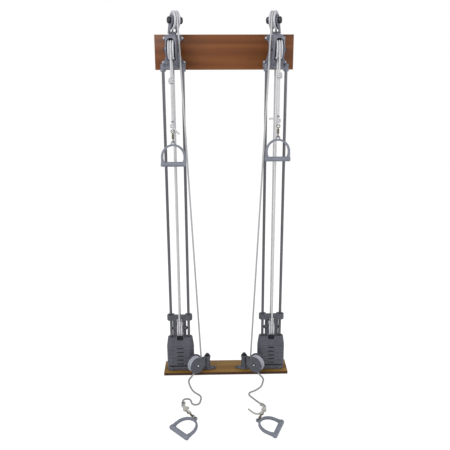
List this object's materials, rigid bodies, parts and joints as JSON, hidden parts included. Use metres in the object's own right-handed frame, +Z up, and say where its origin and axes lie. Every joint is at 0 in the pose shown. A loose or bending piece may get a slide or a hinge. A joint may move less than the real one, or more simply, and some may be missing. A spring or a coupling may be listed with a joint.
{
  "type": "wall pulley weight stack",
  "caption": "Wall-mounted pair of pulley columns with selector weight plates on guide rods, swivel pulleys and D-handles at chest and floor height, between a top and a bottom board.",
  "frame": {"origin": "on the underside of the bottom board, in the vertical plane of the guide rods, midway between the two columns", "axes": "+Z up along the guide rods, +Y toward the wall, +X to the right as seen from the front"},
  "size_m": [0.762, 0.7699, 2.106],
  "materials": {
    "board_wood": "varnished, satin",
    "floor_wood": "varnished, satin",
    "casting": "blue-grey hammertone enamel",
    "weight": "dark grey hammertone enamel",
    "wheel": "off-white, satin",
    "rod_steel": "plated, bright",
    "dark_steel": "dark, satin",
    "handle": "cast, grey, satin",
    "snap_metal": "nickel, worn",
    "rubber": "matte black",
    "rope": "braided, off-white"
  },
  "bodies": {
    "frame": {"top_board": "board_wood", "bottom_board": "floor_wood", "left_upper_bracket": "casting", "left_chest_axle": "dark_steel", "left_guide_rod_outer": "rod_steel", "left_guide_rod_inner": "rod_steel", "left_rubber_bumper": "rubber", "left_rod_base": "casting", "left_floor_foot": "casting", "left_floor_snap": "snap_metal", "left_pulley_rope": "rope", "left_floor_rope": "rope", "right_upper_bracket": "casting", "right_chest_axle": "dark_steel", "right_guide_rod_outer": "rod_steel", "right_guide_rod_inner": "rod_steel", "right_rubber_bumper": "rubber", "right_rod_base": "casting", "right_floor_foot": "casting", "right_floor_snap": "snap_metal", "right_pulley_rope": "rope", "right_floor_rope": "rope"},
    "left_carriage": {"left_carriage": "casting", "left_carriage_axle": "dark_steel"},
    "left_carriage_wheel": {"left_carriage_wheel": "wheel"},
    "left_chest_wheel": {"left_chest_wheel": "wheel"},
    "left_plate_1": {"left_plate_1": "weight"},
    "left_plate_2": {"left_plate_2": "weight"},
    "left_plate_3": {"left_plate_3": "weight"},
    "left_plate_4": {"left_plate_4": "weight"},
    "left_plate_5": {"left_plate_5": "weight"},
    "left_selector_key": {"left_selector_key": "rod_steel"},
    "left_chest_end": {"left_chest_snap": "snap_metal", "left_chest_rope": "rope"},
    "left_chest_handle": {"left_chest_handle": "handle"},
    "left_overhead_yoke": {"left_overhead_yoke": "casting", "left_overhead_axle": "dark_steel"},
    "left_overhead_wheel": {"left_overhead_wheel": "wheel"},
    "left_floor_housing": {"left_floor_housing": "casting"},
    "left_floor_wheel": {"left_floor_wheel": "wheel"},
    "left_floor_handle": {"left_floor_handle": "handle"},
    "right_carriage": {"right_carriage": "casting", "right_carriage_axle": "dark_steel"},
    "right_carriage_wheel": {"right_carriage_wheel": "wheel"},
    "right_chest_wheel": {"right_chest_wheel": "wheel"},
    "right_plate_1": {"right_plate_1": "weight"},
    "right_plate_2": {"right_plate_2": "weight"},
    "right_plate_3": {"right_plate_3": "weight"},
    "right_plate_4": {"right_plate_4": "weight"},
    "right_plate_5": {"right_plate_5": "weight"},
    "right_selector_key": {"right_selector_key": "rod_steel"},
    "right_chest_end": {"right_chest_snap": "snap_metal", "right_chest_rope": "rope"},
    "right_chest_handle": {"right_chest_handle": "handle"},
    "right_overhead_yoke": {"right_overhead_yoke": "casting", "right_overhead_axle": "dark_steel"},
    "right_overhead_wheel": {"right_overhead_wheel": "wheel"},
    "right_floor_housing": {"right_floor_housing": "casting"},
    "right_floor_wheel": {"right_floor_wheel": "wheel"},
    "right_floor_handle": {"right_floor_handle": "handle"}
  },
  "joints": [
    {"name": "left_lift", "type": "slide", "parent": "frame", "child": "left_carriage", "axis": [0, 0, 1], "range_m": [0, 0.55], "deforming": ["left_pulley_rope"]},
    {"name": "left_carriage_wheel_turn", "type": "hinge", "parent": "left_carriage", "child": "left_carriage_wheel", "pos_m": [-0.278, 0, 0.298], "axis": [1, 0, 0], "continuous": true},
    {"name": "left_chest_wheel_turn", "type": "hinge", "parent": "frame", "child": "left_chest_wheel", "pos_m": [-0.278, -0.1, 1.903], "axis": [1, 0, 0], "continuous": true},
    {"name": "left_plate_1_rise", "type": "slide", "parent": "frame", "child": "left_plate_1", "axis": [0, 0, 1], "range_m": [0, 0.55]},
    {"name": "left_plate_2_rise", "type": "slide", "parent": "frame", "child": "left_plate_2", "axis": [0, 0, 1], "range_m": [0, 0.55]},
    {"name": "left_plate_3_rise", "type": "slide", "parent": "frame", "child": "left_plate_3", "axis": [0, 0, 1], "range_m": [0, 0.55]},
    {"name": "left_plate_4_rise", "type": "slide", "parent": "frame", "child": "left_plate_4", "axis": [0, 0, 1], "range_m": [0, 0.55]},
    {"name": "left_plate_5_rise", "type": "slide", "parent": "frame", "child": "left_plate_5", "axis": [0, 0, 1], "range_m": [0, 0.55]},
    {"name": "left_key_out", "type": "slide", "parent": "left_carriage", "child": "left_selector_key", "axis": [0, -1, 0], "range_m": [0, 0.06]},
    {"name": "left_chest_pull", "type": "slide", "parent": "frame", "child": "left_chest_end", "axis": [0, 0, -1], "range_m": [0, 1.1]},
    {"name": "left_chest_handle_swing", "type": "hinge", "parent": "left_chest_end", "child": "left_chest_handle", "pos_m": [-0.278, -0.1435, 1.4425], "axis": [1, 0, 0], "range_deg": [-80, 30]},
    {"name": "left_overhead_swivel", "type": "hinge", "parent": "frame", "child": "left_overhead_yoke", "pos_m": [-0.278, 0.0435, 2], "axis": [0, 0, 1], "range_deg": [-82, 38]},
    {"name": "left_overhead_wheel_turn", "type": "hinge", "parent": "left_overhead_yoke", "child": "left_overhead_wheel", "pos_m": [-0.26171, 0.00317, 2.057], "axis": [0.9272, 0.3746, 0], "continuous": true},
    {"name": "left_floor_swivel", "type": "hinge", "parent": "frame", "child": "left_floor_housing", "pos_m": [-0.114, 0.002, 0.1], "axis": [0, 0, 1], "range_deg": [-5, 85], "deforming": ["left_floor_rope"]},
    {"name": "left_floor_wheel_turn", "type": "hinge", "parent": "left_floor_housing", "child": "left_floor_wheel", "pos_m": [-0.18497, -0.063, 0.085], "axis": [0.6018, -0.7986, 0], "continuous": true},
    {"name": "left_floor_handle_turn", "type": "hinge", "parent": "frame", "child": "left_floor_handle", "pos_m": [-0.1735, -0.539, 0.0378], "axis": [0, 0, 1], "range_deg": [-15, 60]},
    {"name": "right_lift", "type": "slide", "parent": "frame", "child": "right_carriage", "axis": [0, 0, 1], "range_m": [0, 0.55], "deforming": ["right_pulley_rope"]},
    {"name": "right_carriage_wheel_turn", "type": "hinge", "parent": "right_carriage", "child": "right_carriage_wheel", "pos_m": [0.278, 0, 0.298], "axis": [1, 0, 0], "continuous": true},
    {"name": "right_chest_wheel_turn", "type": "hinge", "parent": "frame", "child": "right_chest_wheel", "pos_m": [0.278, -0.1, 1.903], "axis": [1, 0, 0], "continuous": true},
    {"name": "right_plate_1_rise", "type": "slide", "parent": "frame", "child": "right_plate_1", "axis": [0, 0, 1], "range_m": [0, 0.55]},
    {"name": "right_plate_2_rise", "type": "slide", "parent": "frame", "child": "right_plate_2", "axis": [0, 0, 1], "range_m": [0, 0.55]},
    {"name": "right_plate_3_rise", "type": "slide", "parent": "frame", "child": "right_plate_3", "axis": [0, 0, 1], "range_m": [0, 0.55]},
    {"name": "right_plate_4_rise", "type": "slide", "parent": "frame", "child": "right_plate_4", "axis": [0, 0, 1], "range_m": [0, 0.55]},
    {"name": "right_plate_5_rise", "type": "slide", "parent": "frame", "child": "right_plate_5", "axis": [0, 0, 1], "range_m": [0, 0.55]},
    {"name": "right_key_out", "type": "slide", "parent": "right_carriage", "child": "right_selector_key", "axis": [0, -1, 0], "range_m": [0, 0.06]},
    {"name": "right_chest_pull", "type": "slide", "parent": "frame", "child": "right_chest_end", "axis": [0, 0, -1], "range_m": [0, 1.1]},
    {"name": "right_chest_handle_swing", "type": "hinge", "parent": "right_chest_end", "child": "right_chest_handle", "pos_m": [0.278, -0.1435, 1.4675], "axis": [1, 0, 0], "range_deg": [-80, 30]},
    {"name": "right_overhead_swivel", "type": "hinge", "parent": "frame", "child": "right_overhead_yoke", "pos_m": [0.278, 0.0435, 2], "axis": [0, 0, 1], "range_deg": [-38, 82]},
    {"name": "right_overhead_wheel_turn", "type": "hinge", "parent": "right_overhead_yoke", "child": "right_overhead_wheel", "pos_m": [0.26171, 0.00317, 2.057], "axis": [-0.9272, 0.3746, 0], "continuous": true},
    {"name": "right_floor_swivel", "type": "hinge", "parent": "frame", "child": "right_floor_housing", "pos_m": [0.114, 0.002, 0.1], "axis": [0, 0, 1], "range_deg": [-85, 5], "deforming": ["right_floor_rope"]},
    {"name": "right_floor_wheel_turn", "type": "hinge", "parent": "right_floor_housing", "child": "right_floor_wheel", "pos_m": [0.18497, -0.063, 0.085], "axis": [-0.6018, -0.7986, 0], "continuous": true},
    {"name": "right_floor_handle_turn", "type": "hinge", "parent": "frame", "child": "right_floor_handle", "pos_m": [0.1547, -0.555, 0.032], "axis": [0, 0, 1], "range_deg": [-60, 5]}
  ],
  "couplings": [
    {"joint": "left_carriage_wheel_turn", "follows": "left_lift", "rad_per_m": -22.988},
    {"joint": "left_chest_wheel_turn", "follows": "left_lift", "rad_per_m": 45.977},
    {"joint": "left_plate_1_rise", "follows": "left_lift", "ratio": 1},
    {"joint": "left_plate_2_rise", "follows": "left_lift", "ratio": 1},
    {"joint": "left_plate_3_rise", "follows": "left_lift", "ratio": 1},
    {"joint": "left_plate_4_rise", "follows": "left_lift", "ratio": 1},
    {"joint": "left_plate_5_rise", "follows": "left_lift", "ratio": 1},
    {"joint": "left_chest_pull", "follows": "left_lift", "ratio": 2},
    {"joint": "right_carriage_wheel_turn", "follows": "right_lift", "rad_per_m": -22.988},
    {"joint": "right_chest_wheel_turn", "follows": "right_lift", "rad_per_m": 45.977},
    {"joint": "right_plate_1_rise", "follows": "right_lift", "ratio": 1},
    {"joint": "right_plate_2_rise", "follows": "right_lift", "ratio": 1},
    {"joint": "right_plate_3_rise", "follows": "right_lift", "ratio": 1},
    {"joint": "right_plate_4_rise", "follows": "right_lift", "ratio": 1},
    {"joint": "right_plate_5_rise", "follows": "right_lift", "ratio": 1},
    {"joint": "right_chest_pull", "follows": "right_lift", "ratio": 2}
  ]
}
